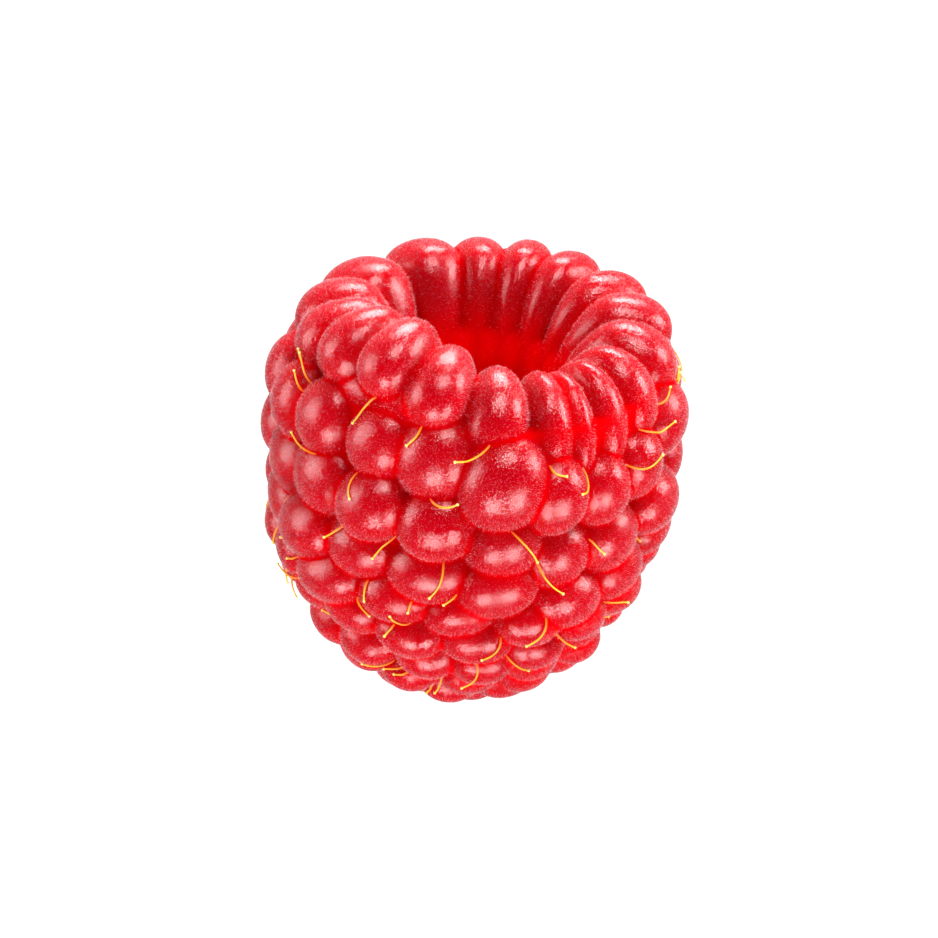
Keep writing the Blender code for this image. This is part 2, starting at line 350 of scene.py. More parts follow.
def outline(height):
    """(radius, outward normal's radial part, its upward part) of the crowns' envelope at a height."""
    if height >= BELLY_HEIGHT:
        up = (height - BELLY_HEIGHT) / (CREST_HEIGHT - BELLY_HEIGHT)
        slope = 2.0 * SHOULDER_DRAW * up / (CREST_HEIGHT - BELLY_HEIGHT)
        normal = Vector((1.0, slope)).normalized()
        return BELLY_RADIUS - SHOULDER_DRAW * up * up, normal.x, normal.y
    half_tall = BELLY_HEIGHT + TIP_BELOW
    down = (BELLY_HEIGHT - height) / half_tall
    across = math.sqrt(1.0 - down * down)
    normal = Vector((across / BELLY_RADIUS, -down / half_tall)).normalized()
    return BELLY_RADIUS * across, normal.x, normal.y


def full_length(spots):
    """The length that is 1 all over a drupelet: a sphere's, but fuller at the corners."""
    return (np.abs(spots) ** FULLNESS).sum(axis=1) ** (1.0 / FULLNESS) + 1e-9


class Drupelet:
    """An ellipsoid in its own meridian plane, narrowed towards the axis as a slice of an orange is.

    normal is the way it faces, as (radial, up), and half its half sizes, (deep, wide, tall). crown
    is the radius where it has its full width, and droop how far its inner and outer ends hang.
    """

    def __init__(self, azimuth, radius, height, normal, half, crown,
                 wedge=WEDGE, roll=0.0, droop=(0, 0)):
        self.angle = math.radians(azimuth)
        self.radius = radius
        self.height = height
        self.normal = normal
        self.half = half
        self.crown = crown
        self.wedge = wedge
        self.roll = math.radians(roll)
        self.droop = droop

    def place(self, unit):
        """The points of space for points of the unit sphere."""
        out, aside, above = (unit / full_length(unit)[:, None]).T
        deep, wide, tall = self.half
        cos, sin = math.cos(self.roll), math.sin(self.roll)
        side = wide * aside * cos - tall * above * sin
        up = wide * aside * sin + tall * above * cos
        radial, rise = self.normal
        rho = self.radius + deep * out * radial - up * rise
        sag = np.where(out < 0.0, self.droop[0], self.droop[1])
        z = self.height + deep * out * rise + up * radial - sag * out * out
        across = side * (np.maximum(rho, NEAR_AXIS) / self.crown) ** self.wedge
        x = rho * math.sin(self.angle) + across * math.cos(self.angle)
        y = -rho * math.cos(self.angle) + across * math.sin(self.angle)
        return np.stack((x, y, z), axis=1)

    def gap(self, points):
        """(distance to the surface, its gradient) at points near the drupelet."""
        deep, wide, tall = self.half
        cos, sin = math.cos(self.roll), math.sin(self.roll)
        radial, rise = self.normal
        toward = np.array((math.sin(self.angle), -math.cos(self.angle)))
        along = np.array((math.cos(self.angle), math.sin(self.angle)))
        rho = points[:, :2] @ toward
        narrow = (np.maximum(rho, NEAR_AXIS) / self.crown) ** self.wedge
        side = points[:, :2] @ along / narrow
        out = ((rho - self.radius) * radial + (points[:, 2] - self.height) * rise) / deep
        sag = np.where(out < 0.0, self.droop[0], self.droop[1])
        up = -(rho - self.radius) * rise + (points[:, 2] - self.height) * radial + sag * out * out
        aside = (side * cos + up * sin) / wide
        above = (-side * sin + up * cos) / tall
        spot = np.stack((out, aside, above), axis=1)
        reach = full_length(spot)
        rate = np.sign(spot) * (np.abs(spot) / reach[:, None]) ** (FULLNESS - 1.0)
        by_side = rate[:, 1] / wide * cos - rate[:, 2] / tall * sin
        by_up = rate[:, 1] / wide * sin + rate[:, 2] / tall * cos
        by_out = rate[:, 0] / deep
        by_rho = by_out * radial + by_up * (2.0 * sag * out / deep - rise)
        by_rho = by_rho - by_side * side * self.wedge / np.maximum(rho, NEAR_AXIS)
        by_z = by_out * rise + by_up * radial
        flat = by_rho[:, None] * toward + (by_side / narrow)[:, None] * along
        gradient = np.concatenate((flat, by_z[:, None]), axis=1)
        steepness = np.linalg.norm(gradient, axis=1) + 1e-9
        return (reach - 1.0) / steepness, gradient / steepness[:, None]


def row_azimuths(count, first, crowding, rng):
    """The azimuths of a row's drupelets, evenly spaced but for the crowding and a small draw."""
    step = 360.0 / count
    return [crowded(first + step * k, crowding) + rng.uniform(-SPACING_DRAW, SPACING_DRAW) * step
            for k in range(count)]


def gap_at(azimuths, index):
    """The mean of the gaps on both sides of one drupelet in a row."""
    after = azimuths[(index + 1) % len(azimuths)]
    return ((after - azimuths[index - 1]) % 360.0) / 2.0


def half_slice(gap, radius):
    """Half the width, at a radius, of a drupelet of the rim that fills its gap in the row."""
    return RIM_OVERLAP * math.radians(gap) / 2.0 * radius


def rim_drupelets(azimuths, rng):
    """The long ones that fold over the rim into the hollow."""
    for index, azimuth in enumerate(azimuths):
        lift = RIM_LIFT * bump(azimuth, LIFT_AZIMUTH, LIFT_SPREAD)
        squeezed = bump(azimuth, SAG_AZIMUTH, SAG_SPREAD)
        rise = RIM_RISE * rng.uniform(*RIM_RISE_DRAW) + RIM_SQUEEZED_RISE * squeezed
        wide = half_slice(gap_at(azimuths, index), RIM_RADIUS)
        top = CREST_HEIGHT + lift - RIM_SAG * squeezed
        top += rng.uniform(-RIM_HEIGHT_DRAW, RIM_HEIGHT_DRAW)
        half = (RIM_REACH, wide, rise)
        fold = DROOP_IN + DROOP_BACK * bump(azimuth, BACK_AZIMUTH, BACK_SPREAD)
        yield Drupelet(azimuth, RIM_RADIUS, top - rise, LEVEL, half, RIM_RADIUS, FULL_WEDGE,
                       droop=(fold, DROOP_SAG * squeezed))


def inner_drupelets(azimuths):
    """The drupelets' inner ends, which line the hollow in rows, each set between those above."""
    for height, shift in INNER_ROWS:
        for index, azimuth in enumerate(azimuths):
            apart = gap_at(azimuths, index)
            half = (INNER_DEPTH, half_slice(apart, INNER_RADIUS), INNER_TALL)
            yield Drupelet(azimuth + shift * apart, INNER_RADIUS, height, LEVEL, half, INNER_RADIUS,
                           FULL_WEDGE)


def body_drupelets(rng):
    """The rows down the side."""
    for height, count, first, lift, sag, crowding, tall in ROWS:
        azimuths = row_azimuths(count, first, crowding, rng)
        for index, azimuth in enumerate(azimuths):
            fall = sag * bump(azimuth, SAG_AZIMUTH, SAG_SPREAD)
            z = height + lift * bump(azimuth, LIFT_AZIMUTH, LIFT_SPREAD)
            z += rng.uniform(-BODY_HEIGHT_DRAW, BODY_HEIGHT_DRAW) - fall
            crown, radial, rise = outline(z)
            free = min(1.0, z / SETTLED)
            normal = Vector((radial, rise * (1.0 - (1.0 - UPTURN) * free))).normalized()
            swollen = swelling(azimuth, z)
            size = rng.uniform(*BODY_SIZE_DRAW) * swollen
            deep = DRUPELET_DEPTH * size
            wide = SIDE_OVERLAP * math.sin(math.radians(gap_at(azimuths, index) / 2.0)) * crown * size
            half = (deep, wide, TALL_OVERLAP * tall * size)
            sunk = deep / swollen + UNEVEN * free * rng.uniform(-1.0, 1.0)
            yield Drupelet(azimuth, crown - sunk * normal.x, z - sunk * normal.y, (normal.x, normal.y),
                           half, crown, roll=rng.uniform(-ROLL, ROLL))


def foot_drupelets():
    """The lowest ring, which the berry stands on."""
    crown, radial, rise = outline(FOOT_HEIGHT)
    wide = SIDE_OVERLAP * math.sin(math.pi / FOOT_COUNT) * crown
    for index in range(FOOT_COUNT):
        azimuth = FOOT_FIRST + 360.0 / FOOT_COUNT * index
        yield Drupelet(azimuth, crown - DRUPELET_DEPTH * radial, FOOT_HEIGHT - DRUPELET_DEPTH * rise,
                       (radial, rise), (DRUPELET_DEPTH, wide, FOOT_HALF), crown)


def tucked_drupelet():
    """A small one that fills the recess under the overhanging rim at the left front."""
    return Drupelet(TUCKED_AZIMUTH, TUCKED_RADIUS, TUCKED_HEIGHT, LEVEL, TUCKED_HALF, TUCKED_RADIUS,
                    FULL_WEDGE)


def tip_drupelet():
    """The one on the axis that closes the tip, facing down."""
    half = (DRUPELET_DEPTH, TIP_HALF, TIP_HALF)
    return Drupelet(0.0, 0.0, TIP_RECESS + DRUPELET_DEPTH, DOWN, half, crown=1.0, wedge=0.0)


def core_profile():
    """(radius, height) from the hollow's floor, over the lip, down the outside to under the tip."""
    hollow = [(radius, HOLLOW_FLOOR + rise) for radius, rise in HOLLOW_BOWL]
    lip = [(RIM_RADIUS, LIP_HEIGHT), (LIP_RADIUS, LIP_HEIGHT - LIP_FALL)]
    outside = []
    for height in CORE_LEVELS:
        radius, radial, rise = outline(height)
        outside.append((radius - CORE_INSET * radial, height - CORE_INSET * rise))
    return hollow + [(MOUTH_RADIUS, HOLLOW_TOP)] + lip + outside + [(0.0, CORE_INSET)]


class Core:
    """The body that the drupelets sit on."""

    def __init__(self):
        self.profile = np.array(core_profile())

    def gap(self, points):
        """(distance to the surface, its gradient) at any points."""
        radius = np.linalg.norm(points[:, :2], axis=1)
        spot = np.stack((radius, points[:, 2]), axis=1)
        nearest = np.full(len(points), np.inf)
        away = np.zeros_like(spot)
        outward = np.zeros_like(spot)
        inside = np.zeros(len(points), bool)
        for start, end in zip(self.profile, self.profile[1:]):
            edge = end - start
            share = np.clip((spot - start) @ edge / (edge @ edge), 0.0, 1.0)
            offset = spot - start - share[:, None] * edge
            distance = np.linalg.norm(offset, axis=1)
            closer = distance < nearest
            nearest[closer] = distance[closer]
            away[closer] = offset[closer]
            outward[closer] = np.array((-edge[1], edge[0])) / np.linalg.norm(edge)
            crosses = (start[1] > spot[:, 1]) != (end[1] > spot[:, 1])
            rise = np.where(crosses, edge[1], 1.0)
            inside ^= crosses & (spot[:, 0] < start[0] + (spot[:, 1] - start[1]) / rise * edge[0])
        sign = np.where(inside, -1.0, 1.0)
        away = away / np.maximum(nearest, TINY)[:, None] * sign[:, None]
        away = np.where((nearest < ON_SURFACE)[:, None], outward, away)
        around = points[:, :2] / np.maximum(radius, TINY)[:, None]
        gradient = np.concatenate((away[:, :1] * around, away[:, 1:]), axis=1)
        return sign * nearest, gradient


class Berry:
    """Every drupelet and the core, blended where they meet."""

    def __init__(self):
        rng = random.Random(SEED)
        azimuths = row_azimuths(RIM_COUNT, RIM_FIRST, 1.0, rng)
        self.drupelets = [
            *rim_drupelets(azimuths, rng), *inner_drupelets(azimuths), *body_drupelets(rng),
            *foot_drupelets(), tip_drupelet(), tucked_drupelet(),
        ]
        self.core = Core()
        self.middles = []
        self.reaches = []
        sphere = np.random.default_rng(SURVEY_SEED).normal(size=(SURVEY_POINTS, 3))
        sphere /= np.linalg.norm(sphere, axis=1)[:, None]
        for drupelet in self.drupelets:
            shell = drupelet.place(sphere)
            middle = (shell.min(axis=0) + shell.max(axis=0)) / 2.0
            self.middles.append(middle)
            self.reaches.append(np.linalg.norm(shell - middle, axis=1).max() + NEARBY)

    def gap(self, points):
        """(distance, gradient, nearest drupelet's index, distance from a crease) near the skin.

        Where the core is nearest, the index is the number of drupelets.
        """
        core, slope = self.core.gap(points)
        weight = np.exp(-core / BLEND)
        total = weight.copy()
        gradient = slope * weight[:, None]
        first = core.copy()
        second = np.full(len(points), FAR)
        owner = np.full(len(points), len(self.drupelets))
        for index, drupelet in enumerate(self.drupelets):
            away = np.linalg.norm(points - self.middles[index], axis=1)
            near = np.nonzero(away < self.reaches[index])[0]
            distance, slope = drupelet.gap(points[near])
            weight = np.exp(-np.clip(distance / BLEND, -BLEND_LIMIT, BLEND_LIMIT))
            total[near] += weight
            gradient[near] += slope * weight[:, None]
            closer = distance < first[near]
            second[near] = np.where(closer, first[near], np.minimum(second[near], distance))
            owner[near[closer]] = index
            first[near] = np.minimum(first[near], distance)
        gradient /= np.linalg.norm(gradient, axis=1)[:, None] + 1e-12
        return -BLEND * np.log(total), gradient, owner, second - first


def new_object(name, mesh):
    obj = bpy.data.objects.new(name, mesh)
    bpy.context.scene.collection.objects.link(obj)
    return obj


def mesh_from(name, points, faces):
    """A mesh of faces that all have the same number of corners."""
    mesh = bpy.data.meshes.new(name)
    count, corners = faces.shape
    mesh.vertices.add(len(points))
    mesh.vertices.foreach_set("co", np.ascontiguousarray(points, np.float32).ravel())
    mesh.loops.add(count * corners)
    mesh.loops.foreach_set("vertex_index", np.ascontiguousarray(faces, np.int32).ravel())
    mesh.polygons.add(count)
    mesh.polygons.foreach_set("loop_start", np.arange(0, count * corners, corners, dtype=np.int32))
    mesh.update(calc_edges=True)
    return mesh


def make_smooth(mesh):
    mesh.polygons.foreach_set("use_smooth", np.ones(len(mesh.polygons), bool))


def points_of(mesh):
    flat = np.zeros(len(mesh.vertices) * 3, np.float32)
    mesh.vertices.foreach_get("co", flat)
    return flat.reshape(-1, 3).astype(float)


def emptied(shape):
    """The (points, faces) of a bmesh, which is freed."""
    points = np.array([vertex.co for vertex in shape.verts])
    faces = np.array([[vertex.index for vertex in face.verts] for face in shape.faces])
    shape.free()
    return points, faces


def unit_sphere(subdivisions):
    """A sphere's surface as (points, triangles)."""
    shape = bmesh.new()
    bmesh.ops.create_icosphere(shape, subdivisions=subdivisions, radius=1.0)
    return emptied(shape)


def spun_core(sides):
    """The core's closed surface as (points, triangles)."""
    profile = core_profile()
    shape = bmesh.new()
    line = [shape.verts.new((radius, 0.0, height)) for radius, height in profile]
    edges = [shape.edges.new(pair) for pair in zip(line, line[1:])]
    bmesh.ops.spin(shape, geom=line + edges, cent=(0, 0, 0), axis=(0, 0, 1),
                   angle=math.tau, steps=sides, use_merge=True)
    bmesh.ops.remove_doubles(shape, verts=shape.verts, dist=CORE_SEAM)
    bmesh.ops.triangulate(shape, faces=shape.faces)
    bmesh.ops.recalc_face_normals(shape, faces=shape.faces)
    shape.verts.index_update()
    return emptied(shape)


def joined(parts):
    """Many parts, each (points, faces), as one."""
    starts = np.cumsum([0] + [len(points) for points, _ in parts])
    faces = [faces + start for (_, faces), start in zip(parts, starts)]
    return np.concatenate([points for points, _ in parts]), np.concatenate(faces)


def pressed(points):
    """Points with none below the resting plane."""
    return np.column_stack((points[:, :2], np.maximum(points[:, 2], 0.0)))


def rough_skin(berry):
    """All the shapes merged by voxels, as one closed mesh of small squares."""
    ball, faces = unit_sphere(BALL_SUBDIVISIONS)
    balls = [(drupelet.place(ball), faces) for drupelet in berry.drupelets]
    obj = new_object("rough", mesh_from("rough", *joined([spun_core(CORE_SIDES), *balls])))
    modifier = obj.modifiers.new("merge", "REMESH")
    modifier.mode = "VOXEL"
    modifier.voxel_size = VOXEL
    graph = bpy.context.evaluated_depsgraph_get()
    merged = bpy.data.meshes.new_from_object(obj.evaluated_get(graph))
    bpy.data.objects.remove(obj)
    return merged


def outer_shell(mesh):
    """(points, squares) of the largest connected piece of a mesh."""
    points = points_of(mesh)
    corners = np.zeros(len(mesh.loops), np.int32)
    mesh.loops.foreach_get("vertex_index", corners)
    faces = corners.reshape(-1, 4)
    label = np.arange(len(points))
    while True:
        lowest = label[faces].min(axis=1)
        fresh = label.copy()
        for corner in range(4):
            np.minimum.at(fresh, faces[:, corner], lowest)
        fresh = fresh[fresh]
        if (fresh == label).all():
            break
        label = fresh
    names, counts = np.unique(label, return_counts=True)
    kept = label == names[counts.argmax()]
    renumbered = np.cumsum(kept) - 1
    return points[kept], renumbered[faces[kept[faces[:, 0]]]]


def lean(points, normals):
    """Drifts the rim towards +X and tips it down on that side, as the part does."""
    fall = math.tan(math.radians(RIM_TILT)) / CREST_HEIGHT
    drift = RIM_DRIFT / CREST_HEIGHT ** 2
    x, y, z = points.T
    moved = np.stack((x + drift * z * z, y, z - fall * x * z), axis=1)
    across, along, up = normals.T
    scale = (1.0 - fall * x) + 2.0 * drift * z * fall * z
    turned = np.stack(((1.0 - fall * x) * across + fall * z * up, scale * along,
                       up - 2.0 * drift * z * across), axis=1)
    return moved, turned / np.linalg.norm(turned, axis=1)[:, None]


def stand(points):
    """The shift that centres the berry and presses its lowest crowns into the resting plane."""
    low, high = points.min(axis=0), points.max(axis=0)
    middle = (low + high) / 2.0
    return -np.array((middle[0], middle[1], low[2] + RESTING_DEPTH))


def add_value(mesh, name, values):
    attribute = mesh.attributes.new(name, "FLOAT", "POINT")
    attribute.data.foreach_set("value", np.ascontiguousarray(values, np.float32))


def fading(distance, span):
    """0 up to the start of a stretch, 1 past its end."""
    return np.clip(distance / span, 0.0, 1.0)


def hollow_share(points):
    """1 inside the hollow and 0 outside it, for points that don't lean yet."""
    top, down = HOLLOW_DOWN
    edge, across = HOLLOW_ACROSS
    bottom, up = HOLLOW_UP
    share = fading(top - points[:, 2], down)
    share *= fading(edge - np.linalg.norm(points[:, :2], axis=1), across)
    return share * fading(points[:, 2] - bottom, up)


class Skin:
    """The finished skin.

    crease is each point's distance from a crease, hollow is 1 inside the hollow and 0 outside it,
    and shift is the move that stood the berry up.
    """

    def __init__(self, berry):
        rough = rough_skin(berry)
        points, self.faces = outer_shell(rough)
        bpy.data.meshes.remove(rough)
        for _ in range(SETTLING_STEPS):
            distance, gradient, _, _ = berry.gap(points)
            points = points - np.clip(distance, -LONGEST_STEP, LONGEST_STEP)[:, None] * gradient
        _, gradient, owner, self.crease = berry.gap(points)
        self.crease[owner == len(berry.drupelets)] = 0.0
        self.hollow = hollow_share(points)
        points, self.normals = lean(points, gradient)
        self.shift = stand(points)
        self.points = pressed(points + self.shift)

    def piece(self):
        """The skin as an object, with its colours' attributes, which place the painted glow in the
        creases and the painted fill light in the hollow.
        """
        mesh = mesh_from("raspberry_skin", self.points * MM, self.faces)
        make_smooth(mesh)
        mesh.normals_split_custom_set_from_vertices(self.normals.astype(np.float32).tolist())
        # The crease value sets where the painted glow brightens the skin, fading out towards the
        # bottom
        start, span = CREASE_UP
        above = fading(self.points[:, 2] - start, span)
        add_value(mesh, "crease", np.exp(-np.clip(self.crease, 0.0, FAR) / CREASE_REACH) * above)
        # The hollow value sets where painted fill light brightens the skin
        add_value(mesh, "hollow", self.hollow)
        return new_object("raspberry_fine", mesh)


def style_frame(azimuth, height, shift):
    """(place, out, right, up) on the berry's envelope, in the finished berry's millimetres."""
    radius, radial, rise = outline(height)
    angle = math.radians(azimuth)
    flat = np.array((math.sin(angle), -math.cos(angle), 0.0))
    out = radial * flat + np.array((0.0, 0.0, rise))
    place = (radius - ROOT_INSET) * flat + np.array((0.0, 0.0, height))
    moved, turned = lean(place[None], out[None])
    right = np.array((math.cos(angle), math.sin(angle), 0.0))
    return moved[0] + shift, turned[0], right, np.cross(turned[0], right)


def off_skin(tree, spot, least, most):
    """Moves a point along the skin's normal until its distance from the skin is within bounds."""
    foot, normal, _, _ = tree.find_nearest(Vector(spot))
    foot, normal = np.array(foot), np.array(normal)
    distance = (spot - foot) @ normal
    return spot + (min(max(distance, least), most) - distance) * normal


def style_path(tree, roots, frame, heading, length, turn):
    """The points of one style: out of its crevice, then over the drupelets beside it."""
    place, out, right, up = frame
    spot = roots[np.linalg.norm(roots - place, axis=1).argmin()]
    path = [spot - ROOT_SUNK * out, spot]
    for step in range(1, STYLE_STEPS):
        share = step / STYLE_STEPS
        angle = math.radians(heading + turn * share)
        leaving = STYLE_START * (1.0 - share) ** 3
        along = math.cos(angle) * right + math.sin(angle) * up + leaving * out
        spot = spot + along / np.linalg.norm(along) * length / STYLE_STEPS
        spot = off_skin(tree, spot, min(STYLE_CLEAR, share), STYLE_CLEAR + STYLE_RISE * share)
        path.append(spot)
    path = np.array(path)
    for _ in range(SMOOTHINGS):
        path[2:-1] = (path[1:-2] + 2.0 * path[2:-1] + path[3:]) / 4.0
        path[4:] = [off_skin(tree, spot, STYLE_CLEAR, FAR) for spot in path[4:]]
    return path


def style_tube(path):
    """(points, triangles, share of the length at each point) of a thin tube with a knob at its end."""
    tip = path[-1] - path[-2]
    tip /= np.linalg.norm(tip)
    shares = np.linspace(0.0, 1.0, len(path))
    halves = list(STYLE_HALF[0] + (STYLE_HALF[1] - STYLE_HALF[0]) * shares)
    middles = list(path) + [path[-1] + far * tip for far, _ in KNOB]
    halves += [half for _, half in KNOB]
    shares = list(shares) + [KNOB_SHARE] * len(KNOB)
    side = np.cross(path[1] - path[0], OFF_EVERY_STYLE)
    rings = []
    for index, middle in enumerate(middles):
        ahead = middles[min(index + 1, len(middles) - 1)] - middles[max(index - 1, 0)]
        ahead = ahead / np.linalg.norm(ahead)
        side = side - (side @ ahead) * ahead
        side /= np.linalg.norm(side)
        other = np.cross(ahead, side)
        turns = np.arange(STYLE_SIDES) * math.tau / STYLE_SIDES
        ring = np.cos(turns)[:, None] * side + np.sin(turns)[:, None] * other
        rings.append(middle + halves[index] * ring)
    triangles = []
    for ring in range(len(rings) - 1):
        for k in range(STYLE_SIDES):
            a, b = ring * STYLE_SIDES + k, ring * STYLE_SIDES + (k + 1) % STYLE_SIDES
            triangles += [(a, b, b + STYLE_SIDES), (a, b + STYLE_SIDES, a + STYLE_SIDES)]
    return np.concatenate(rings), np.array(triangles), np.repeat(shares, STYLE_SIDES)


def drawn_styles(rng):
    """Rows like those of STYLES, for the sides and the back."""
    for index in range(MORE_STYLES):
        azimuth = MORE_FROM + MORE_SPAN * (index + rng.uniform(-MORE_SHIFT, MORE_SHIFT)) / MORE_STYLES
        yield (azimuth, rng.uniform(*STYLE_HEIGHTS), rng.uniform(*STYLE_HEADINGS),
               rng.uniform(*STYLE_LENGTHS), rng.uniform(*STYLE_TURNS))


def styles(skin, rng):
    """Every dried style as one object, each grown from the deepest line near its place."""
    tree = BVHTree.FromPolygons(skin.points.tolist(), skin.faces.tolist())
    roots = skin.points[skin.crease < ROOT_CREASE]
    tubes, along = [], []
    for azimuth, height, heading, length, turn in (*STYLES, *drawn_styles(rng)):
        frame = style_frame(azimuth, height, skin.shift)
        path = style_path(tree, roots, frame, heading, length, turn)
        points, triangles, shares = style_tube(path)
        tubes.append((points, triangles))
        along.append(shares)
    points, triangles = joined(tubes)
    mesh = mesh_from("styles", pressed(points) * MM, triangles)
    make_smooth(mesh)
    add_value(mesh, "along", np.concatenate(along))
    return new_object("styles", mesh)


def hair_density(skin):
    """Each square's share of the hairs: by its size, less near a crease and in the hollow."""
    corner = skin.faces[:, 0]
    first, second, third = (skin.points[skin.faces[:, k]] for k in range(3))
    density = np.linalg.norm(np.cross(second - first, third - first), axis=1)
    density = density * np.clip(skin.crease[corner] / HAIR_THIN_REACH, HAIR_THINNEST, 1.0)
    return density * (1.0 - HAIR_HOLLOW_LOSS * skin.hollow[corner])


def hairs(name, skin, rng):
    """Short closed spikes that stand on the skin."""
    density = hair_density(skin)
    pick = rng.choice(len(skin.faces), HAIRS_A_PIECE, p=density / density.sum())
    u, v = rng.uniform(size=(2, HAIRS_A_PIECE))
    first, second, third, fourth = (skin.points[skin.faces[pick, k]] for k in range(4))
    bottom = first + (second - first) * u[:, None]
    top = fourth + (third - fourth) * u[:, None]
    root = bottom + (top - bottom) * v[:, None]
    normal = skin.normals[skin.faces[pick, 0]]
    wild = rng.normal(size=(HAIRS_A_PIECE, 3))
    length = HAIR_LENGTH * rng.uniform(*HAIR_LENGTHS, HAIRS_A_PIECE)
    tip = root + (normal + HAIR_TILT * wild) * length[:, None]
    side = np.cross(normal, wild)
    side /= np.linalg.norm(side, axis=1)[:, None]
    other = np.cross(normal, side)
    sunk = root - HAIR_SUNK * normal
    corners = []
    for turn in range(HAIR_SIDES):
        angle = math.tau * turn / HAIR_SIDES
        corners.append(sunk + HAIR_HALF * (math.cos(angle) * side + math.sin(angle) * other))
    spikes = pressed(np.stack((*corners, tip), axis=1).reshape(-1, 3))
    starts = np.arange(HAIRS_A_PIECE) * (HAIR_SIDES + 1)
    triangles = (starts[:, None, None] + HAIR_FACES).reshape(-1, 3)
    return new_object(name, mesh_from(name, spikes * MM, triangles))


def new_material(name, finish):
    """(material, its shader, its nodes, their links), with the shader's values set."""
    material = bpy.data.materials.new(name)
    material.use_nodes = True
    nodes, links = material.node_tree.nodes, material.node_tree.links
    shader = nodes["Principled BSDF"]
    for socket, value in finish.items():
        shader.inputs[socket].default_value = value
    return material, shader, nodes, links


def attribute(nodes, name):
    """The value that add_value put on the mesh."""
    node = nodes.new("ShaderNodeAttribute")
    node.attribute_name = name
    return node.outputs["Fac"]


def mixed(nodes, links, first, second, factor):
    """A colour that goes from the first, plain or linked, to the plain second as the factor grows."""
    node = nodes.new("ShaderNodeMix")
    node.data_type = "RGBA"
    if isinstance(first, tuple):
        node.inputs["A"].default_value = first
    else:
        links.new(first, node.inputs["A"])
    node.inputs["B"].default_value = second
    links.new(factor, node.inputs["Factor"])
    return node.outputs["Result"]


def product(nodes, links, first, second):
    """Two values multiplied."""
    node = nodes.new("ShaderNodeMath")
    node.operation = "MULTIPLY"
    links.new(first, node.inputs[0])
    links.new(second, node.inputs[1])
    return node.outputs["Value"]


def mapped(nodes, links, source, span, values):
    """A value that runs between two values as the source runs over its span."""
    node = nodes.new("ShaderNodeMapRange")
    node.inputs["From Min"].default_value, node.inputs["From Max"].default_value = span
    node.inputs["To Min"].default_value, node.inputs["To Max"].default_value = values
    links.new(source, node.inputs["Value"])
    return node.outputs["Result"]


def grain(nodes, links):
    """The distance from the nearest grain of the bloom, in grains."""
    place = nodes.new("ShaderNodeTexCoord")
    dots = nodes.new("ShaderNodeTexVoronoi")
    dots.inputs["Scale"].default_value = 1.0 / (GRAIN * MM)
    links.new(place.outputs["Object"], dots.inputs["Vector"])
    return dots.outputs["Distance"]


def skin_material():
    """Wet red, painted brighter in the creases as glow and in the hollow as fill light, under a bloom
    of fine raised grains whose pale specks are partly painted glints.
    """
    material, shader, nodes, links = new_material("raspberry_skin_fine", SKIN_FINISH)
    crease, hollow = attribute(nodes, "crease"), attribute(nodes, "hollow")
    # Painted glow: brighter red in the creases, where shade would fall
    red = mixed(nodes, links, SKIN_CROWN, SKIN_CREASE_PAINTED_GLOW, crease)
    # Painted fill light: brighter red inside the shaded hollow
    red = mixed(nodes, links, red, SKIN_HOLLOW_PAINTED_FILL, hollow)
    outside = mapped(nodes, links, hollow, *OUTSIDE_BY_HOLLOW)
    gloss = product(nodes, links, outside, mapped(nodes, links, crease, *GLOSS_BY_CREASE))
    away = grain(nodes, links)
    raised = mapped(nodes, links, away, *RAISED_BY_GRAIN)
    # Pale specks, partly the bloom's own grains and partly painted glints, fading where the gloss
    # fades
    speck_and_glint = product(nodes, links, mapped(nodes, links, away, *SPECK_AND_GLINT_BY_GRAIN), gloss)
    speckled_and_glinting = mixed(nodes, links, red, SKIN_SPECK_AND_GLINT, speck_and_glint)
    links.new(speckled_and_glinting, shader.inputs["Base Color"])
    fine = nodes.new("ShaderNodeBump")
    fine.inputs["Strength"].default_value = 1.0
    fine.inputs["Distance"].default_value = GRAIN_RISE * MM
    links.new(raised, fine.inputs["Height"])
    links.new(fine.outputs["Normal"], shader.inputs["Normal"])
    sheen = mapped(nodes, links, raised, *SHEEN_BY_RAISED)
    links.new(product(nodes, links, sheen, outside), shader.inputs["Sheen Weight"])
    sparkle = mapped(nodes, links, raised, *SPARKLE_BY_RAISED)
    links.new(product(nodes, links, gloss, sparkle), shader.inputs["Specular IOR Level"])
    return material


def style_material():
    """Dry threads, red at the root and pale yellow at the knob."""
    material, shader, nodes, links = new_material("raspberry_style", STYLE_FINISH)
    share = mapped(nodes, links, attribute(nodes, "along"), (0.0, KNOB_SHARE), (0.0, 1.0))
    ramp = nodes.new("ShaderNodeValToRGB")
    stops = ramp.color_ramp.elements
    stops[0].color = STYLE_ROOT
    stops[1].color = STYLE_TIP
    stops.new(STYLE_MIDDLE_AT).color = STYLE_MIDDLE
    stops.new(STYLE_PALE_AT).color = STYLE_PALE
    links.new(share, ramp.inputs["Fac"])
    links.new(ramp.outputs["Color"], shader.inputs["Base Color"])
    return material


def hair_material():
    """Pale, slightly clear hairs."""
    material, _, _, _ = new_material("raspberry_hair", HAIR_FINISH)
    return material


def aim(obj, place, target):
    """Puts a light or the camera at its place and turns it to its target."""
    obj.location = place
    obj.rotation_euler = (Vector(target) - Vector(place)).to_track_quat("-Z", "Y").to_euler()


def around(azimuth, elevation):
    """A light's place, by its azimuth and elevation seen from the berry's middle."""
    flat = LIGHT_DISTANCE * math.cos(math.radians(elevation))
    return (flat * math.sin(math.radians(azimuth)), -flat * math.cos(math.radians(azimuth)),
            MIDDLE_HEIGHT + LIGHT_DISTANCE * math.sin(math.radians(elevation)))


def soft_box(name, azimuth, elevation, size, radiance):
    """A rectangular light that faces the berry's middle."""
    light = bpy.data.lights.new(name, "AREA")
    light.shape = "RECTANGLE"
    light.size, light.size_y = size
    light.energy = math.pi * size[0] * size[1] * radiance
    aim(new_object(name, light), around(azimuth, elevation), (0.0, 0.0, MIDDLE_HEIGHT))


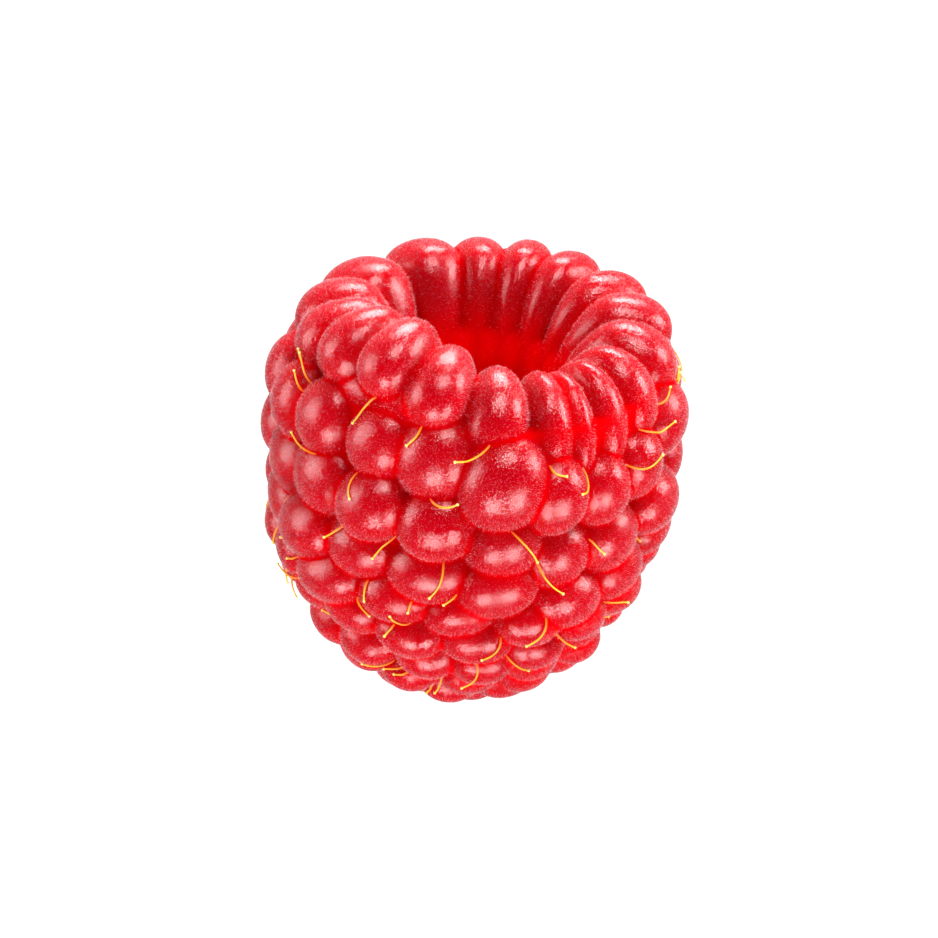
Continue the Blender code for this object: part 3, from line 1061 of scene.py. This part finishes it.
def white_room():
    """White to the camera; as light it is bright behind, less so below, and dim in front and above."""
    world = bpy.data.worlds.new("room")
    bpy.context.scene.world = world
    world.use_nodes = True
    nodes, links = world.node_tree.nodes, world.node_tree.links
    shine = nodes["Background"]
    shine.inputs["Color"].default_value = (1.0, 1.0, 1.0, 1.0)
    place = nodes.new("ShaderNodeTexCoord")
    split = nodes.new("ShaderNodeSeparateXYZ")
    links.new(place.outputs["Generated"], split.inputs["Vector"])
    brighter = nodes.new("ShaderNodeMath")
    brighter.operation = "MAXIMUM"
    links.new(mapped(nodes, links, split.outputs["Y"], *LIGHT_BY_DEPTH), brighter.inputs[0])
    links.new(mapped(nodes, links, split.outputs["Z"], *LIGHT_BY_HEIGHT), brighter.inputs[1])
    seen = nodes.new("ShaderNodeLightPath")
    white = nodes.new("ShaderNodeMix")
    links.new(seen.outputs["Is Camera Ray"], white.inputs["Factor"])
    links.new(brighter.outputs["Value"], white.inputs["A"])
    white.inputs["B"].default_value = WHITE
    links.new(white.outputs["Result"], shine.inputs["Strength"])


def floor():
    """A plain white floor that only the camera sees, so it neither lights the berry nor shades it."""
    corners = np.array([(-1, -1, 0), (1, -1, 0), (1, 1, 0), (-1, 1, 0)]) * FLOOR_HALF
    mesh = mesh_from("floor", corners, np.array([(0, 1, 2, 3)]))
    obj = new_object("floor", mesh)
    obj.location.z = -FLOOR_DROP
    material, _, nodes, links = new_material("floor", {})
    white = nodes.new("ShaderNodeEmission")
    white.inputs["Strength"].default_value = WHITE
    links.new(white.outputs["Emission"], nodes["Material Output"].inputs["Surface"])
    mesh.materials.append(material)
    obj.visible_diffuse = False
    obj.visible_glossy = False
    obj.visible_transmission = False
    obj.visible_shadow = False


def camera():
    """In front of the berry and above it, with a long lens."""
    data = bpy.data.cameras.new("camera")
    data.sensor_width = SENSOR_WIDTH
    data.lens = CAMERA_LENS
    data.clip_start = CAMERA_CLIP
    obj = new_object("camera", data)
    target = Vector(CAMERA_TARGET)
    elevation = math.radians(CAMERA_ELEVATION)
    toward = Vector((0.0, -math.cos(elevation), math.sin(elevation)))
    aim(obj, target + toward * CAMERA_DISTANCE, target)
    bpy.context.scene.camera = obj


def main():
    for obj in list(bpy.data.objects):
        bpy.data.objects.remove(obj)
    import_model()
    skin = Skin(Berry())
    shell = skin.piece()
    shell.data.materials.append(skin_material())
    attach(shell, "root")
    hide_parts("raspberry")
    rng = np.random.default_rng(SEED)
    coat = hair_material()
    for index in range(HAIR_PIECES):
        piece = hairs(f"hairs_{index}", skin, rng)
        piece.data.materials.append(coat)
        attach(piece, "root")
    fringe = styles(skin, rng)
    fringe.data.materials.append(style_material())
    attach(fringe, "root")
    camera()
    for light in LIGHTS:
        soft_box(*light)
    white_room()
    floor()
    bpy.context.scene.view_settings.view_transform = "Standard"
    bpy.context.scene.view_settings.look = "Medium High Contrast"
    bpy.context.scene.view_settings.exposure = EXPOSURE
    bpy.context.view_layer.update()


main()
